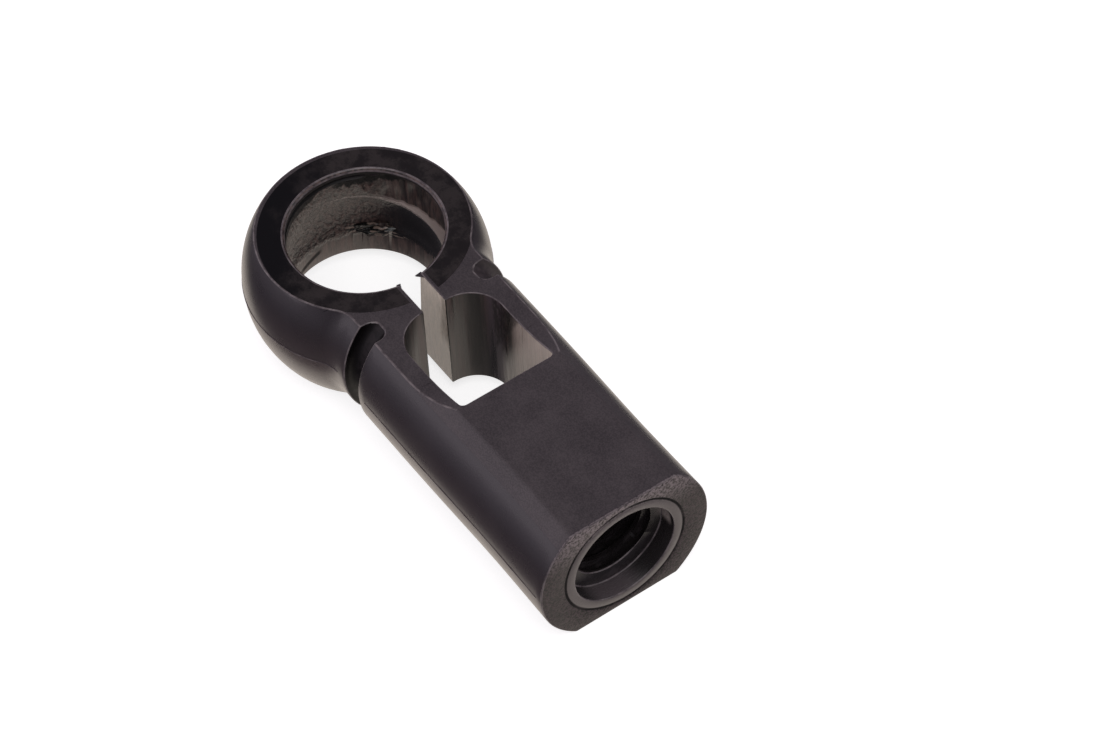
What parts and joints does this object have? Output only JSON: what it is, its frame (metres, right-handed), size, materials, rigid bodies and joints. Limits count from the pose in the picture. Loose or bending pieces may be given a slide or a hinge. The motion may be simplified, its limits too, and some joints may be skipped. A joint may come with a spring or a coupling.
{
  "type": "angle joint ball socket",
  "caption": "Plastic ball socket for an angle joint: a split eye that snaps over a ball stud, a groove for a locking clip and a flatted shank with an internal thread.",
  "frame": {"origin": "centre of the ball seat", "axes": "+X along the shank towards the threaded end face, +Z along the ball stud's axis, +Y across the flats to make a right-handed frame"},
  "size_m": [0.0335, 0.015, 0.009],
  "materials": {
    "housing": "moulded, fine grain"
  },
  "bodies": {
    "root": {"socket": "housing"}
  },
  "joints": []
}
